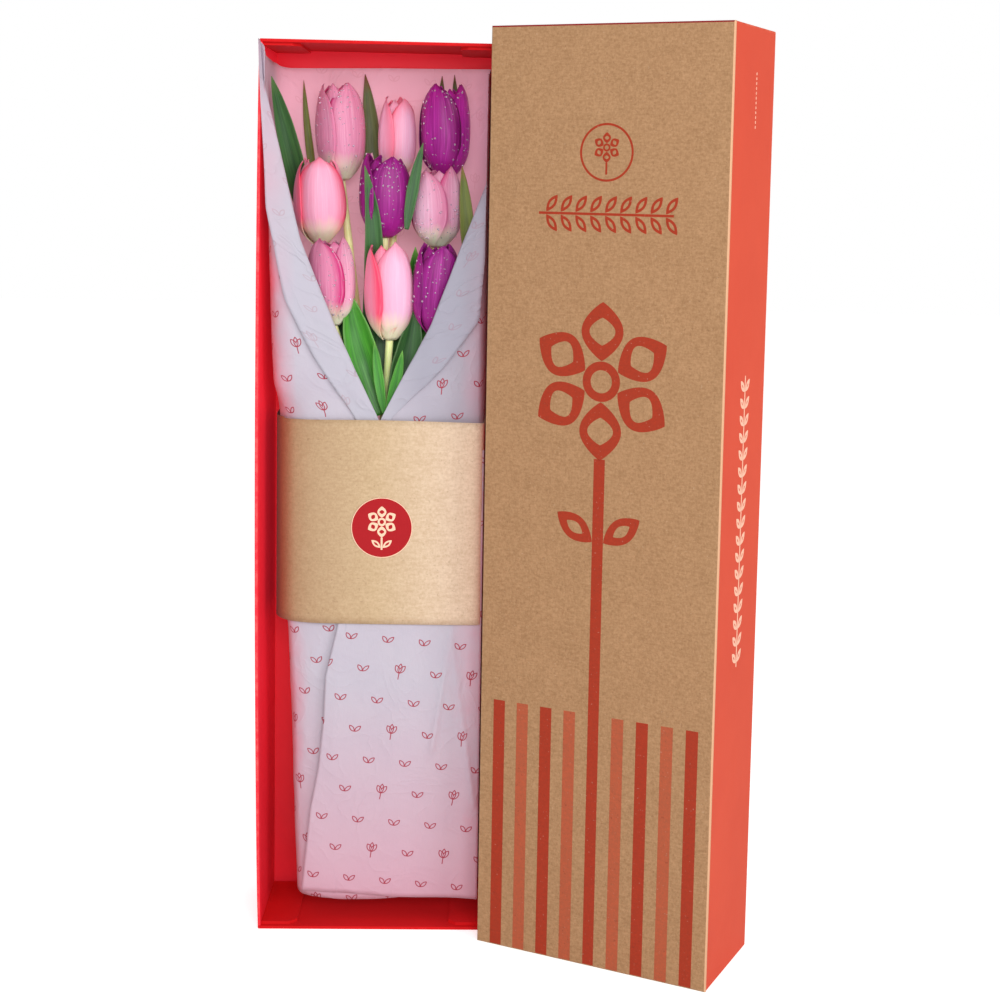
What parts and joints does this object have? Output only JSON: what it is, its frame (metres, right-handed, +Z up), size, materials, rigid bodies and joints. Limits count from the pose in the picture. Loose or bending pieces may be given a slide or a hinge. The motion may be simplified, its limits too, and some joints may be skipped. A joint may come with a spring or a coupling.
{
  "type": "flower box",
  "caption": "Tall two-piece telescoping flower carton: an open tray with a tissue-wrapped tulip bouquet and paper band, and its printed lid standing beside it.",
  "frame": {"origin": "middle of the tray's bottom end face, on the surface the box stands on", "axes": "+Z up along the box's length; the tray opens towards -Y; +X towards the lid"},
  "size_m": [0.3315, 0.1666, 0.61],
  "materials": {
    "red_board": "satin",
    "kraft_board": "matte",
    "coral_board": "matte",
    "tissue": "matte",
    "kraft_paper": "satin",
    "sticker": "satin",
    "petal_salmon": "satin",
    "petal_dusty": "satin",
    "petal_purple": "satin",
    "stem": "satin",
    "leaf": "satin",
    "rubber": "matte",
    "sleeve_film": "satin"
  },
  "bodies": {
    "tray": {"tray_back_panel": "red_board", "tray_bottom_wall": "red_board", "tray_corner_tabs": "red_board", "tray_left_wall": "red_board", "tray_right_wall": "red_board", "tray_top_wall": "red_board"},
    "bouquet": {"bloom_back_centre": "petal_salmon", "bloom_back_left": "petal_dusty", "bloom_back_right": "petal_purple", "bloom_front_centre": "petal_salmon", "bloom_front_left": "petal_dusty", "bloom_front_right": "petal_purple", "bloom_middle_centre": "petal_purple", "bloom_middle_left": "petal_salmon", "bloom_middle_right": "petal_dusty", "hydration_sleeve": "sleeve_film", "leaf_back_left": "leaf", "leaf_back_right_high": "leaf", "leaf_back_right_low": "leaf", "leaf_front_left": "leaf", "leaf_front_right": "leaf", "leaf_front_small": "leaf", "leaf_front_thin": "leaf", "leaf_inner_right": "leaf", "leaf_left_long": "leaf", "leaf_left_thin": "leaf", "leaf_middle_left": "leaf", "leaf_middle_right": "leaf", "leaf_right_long": "leaf", "stem_back_centre": "stem", "stem_back_left": "stem", "stem_back_right": "stem", "stem_front_centre": "stem", "stem_front_left": "stem", "stem_front_right": "stem", "stem_middle_centre": "stem", "stem_middle_left": "stem", "stem_middle_right": "stem", "stem_tie": "rubber", "tissue_back_sheet": "tissue", "tissue_front_sheet": "tissue", "tissue_left_fold": "tissue", "tissue_lower_wrap": "tissue", "tissue_right_fold": "tissue"},
    "band": {"kraft_band": "kraft_paper", "band_sticker": "sticker"},
    "lid": {"lid_bottom_wall": "coral_board", "lid_corner_tabs": "kraft_board", "lid_face_panel": "kraft_board", "lid_left_wall": "coral_board", "lid_right_wall": "coral_board", "lid_top_wall": "coral_board"}
  },
  "joints": [
    {"name": "bouquet_lift_out", "type": "slide", "parent": "tray", "child": "bouquet", "axis": [0, -1, 0], "range_m": [0, 0.085]},
    {"name": "band_slide", "type": "slide", "parent": "bouquet", "child": "band", "axis": [0, 0, 1], "range_m": [-0.15, 0]},
    {"name": "lid_pull_off", "type": "slide", "parent": "tray", "child": "lid", "axis": [0, -1, 0], "range_m": [0, 0.1]}
  ]
}
